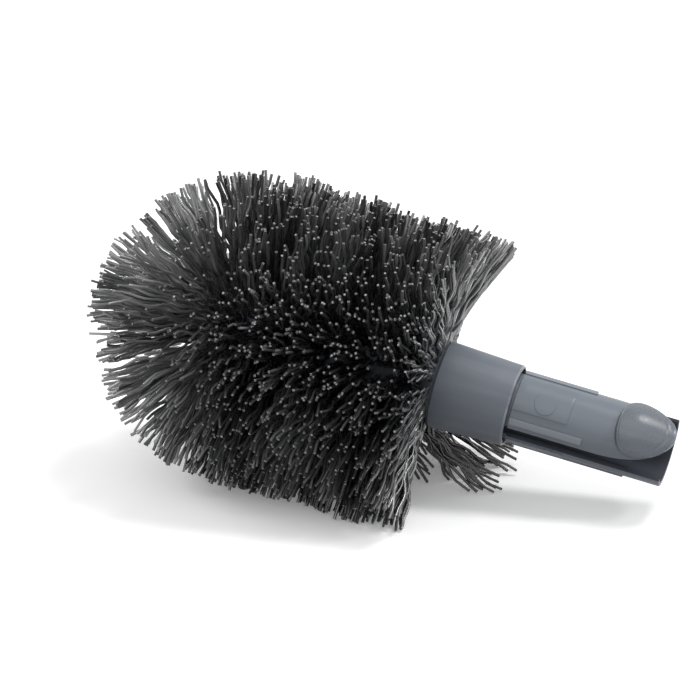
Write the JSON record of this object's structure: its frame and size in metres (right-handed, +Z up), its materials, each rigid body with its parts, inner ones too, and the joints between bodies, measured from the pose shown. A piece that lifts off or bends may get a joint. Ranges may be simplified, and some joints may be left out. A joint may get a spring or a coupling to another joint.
{
  "type": "cleaning brush",
  "caption": "Round bristle brush head lying on a table, with a tapered collar and a split click-in spigot whose sprung tongue has a thumb pad.",
  "frame": {"origin": "on the table under the middle of the brush's box, at the bristles' lowest points", "axes": "+Z up from the table, +X along the brush towards the spigot, which dips by 11.8 degrees"},
  "size_m": [0.1965, 0.104, 0.1035],
  "materials": {
    "moulded_plastic": "satin",
    "tongue_plastic": "satin",
    "bristle": "satin"
  },
  "bodies": {
    "brush": {"brush_body": "moulded_plastic", "clip_insert": "moulded_plastic", "tuft_row1_1": "bristle", "tuft_row1_2": "bristle", "tuft_row1_3": "bristle", "tuft_row1_4": "bristle", "tuft_row1_5": "bristle", "tuft_row1_6": "bristle", "tuft_row1_7": "bristle", "tuft_row2_1": "bristle", "tuft_row2_2": "bristle", "tuft_row2_3": "bristle", "tuft_row2_4": "bristle", "tuft_row2_5": "bristle", "tuft_row2_6": "bristle", "tuft_row2_7": "bristle", "tuft_row3_1": "bristle", "tuft_row3_2": "bristle", "tuft_row3_3": "bristle", "tuft_row3_4": "bristle", "tuft_row3_5": "bristle", "tuft_row3_6": "bristle", "tuft_row3_7": "bristle", "tuft_row4_1": "bristle", "tuft_row4_2": "bristle", "tuft_row4_3": "bristle", "tuft_row4_4": "bristle", "tuft_row4_5": "bristle", "tuft_row4_6": "bristle", "tuft_row4_7": "bristle", "tuft_row5_1": "bristle", "tuft_row5_2": "bristle", "tuft_row5_3": "bristle", "tuft_row5_4": "bristle", "tuft_row5_5": "bristle", "tuft_row5_6": "bristle", "tuft_row5_7": "bristle", "tuft_dome1_1": "bristle", "tuft_dome1_2": "bristle", "tuft_dome1_3": "bristle", "tuft_dome1_4": "bristle", "tuft_dome1_5": "bristle", "tuft_dome1_6": "bristle", "tuft_dome1_7": "bristle", "tuft_dome1_8": "bristle", "tuft_dome1_9": "bristle", "tuft_dome2_1": "bristle", "tuft_dome2_2": "bristle", "tuft_dome2_3": "bristle", "tuft_dome2_4": "bristle", "tuft_dome2_5": "bristle", "tuft_dome2_6": "bristle", "tuft_dome3_1": "bristle", "tuft_dome3_2": "bristle", "tuft_dome3_3": "bristle"},
    "tongue": {"release_tongue": "tongue_plastic"}
  },
  "joints": [
    {"name": "tongue_press", "type": "hinge", "parent": "brush", "child": "tongue", "pos_m": [0.03414, -0.00567, 0.0412], "axis": [0.1368, 0.7431, 0.655], "range_deg": [0, 4.5], "stiffness_Nm_per_rad": 2.5}
  ]
}
